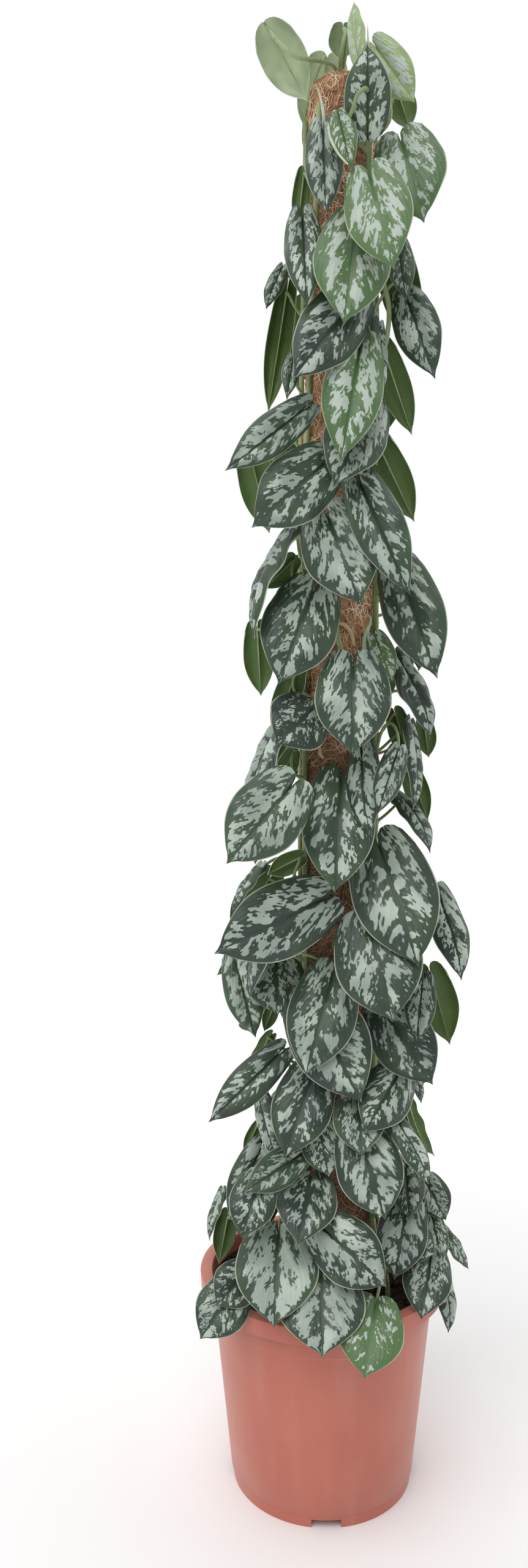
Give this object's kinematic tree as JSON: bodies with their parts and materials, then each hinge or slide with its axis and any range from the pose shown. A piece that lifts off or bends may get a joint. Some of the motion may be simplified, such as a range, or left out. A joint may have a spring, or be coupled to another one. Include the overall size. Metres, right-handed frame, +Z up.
{
  "type": "potted scindapsus treubii",
  "caption": "Climbing aroid with heart-shaped, silver-blotched dark leaves on a tall coir pole, in a terracotta-coloured nursery pot.",
  "frame": {"origin": "bottom centre of the whole plant's bounding box, on the ground", "axes": "+Z up along the pole, -Y towards the viewer of the picture, +X to the picture's right"},
  "size_m": [0.3008, 0.345, 1.5712],
  "materials": {
    "pot_plastic": "injection-moulded terracotta-coloured plastic with a soft sheen",
    "potting_soil": "loose dark potting soil",
    "pole_wood": "plain round stake",
    "coir": "rough coconut fibre",
    "leaf": "smooth, slightly glossy leaves with silver-grey blotches"
  },
  "bodies": {
    "root": {"pot": "pot_plastic", "soil": "potting_soil", "pole_core": "pole_wood", "coir_sleeve": "coir", "leafy_stem_front_left": "leaf", "leafy_stem_front_right": "leaf", "leafy_stem_left": "leaf", "leafy_stem_right": "leaf", "leafy_stem_back_left": "leaf", "leafy_stem_back_right": "leaf"}
  },
  "joints": []
}
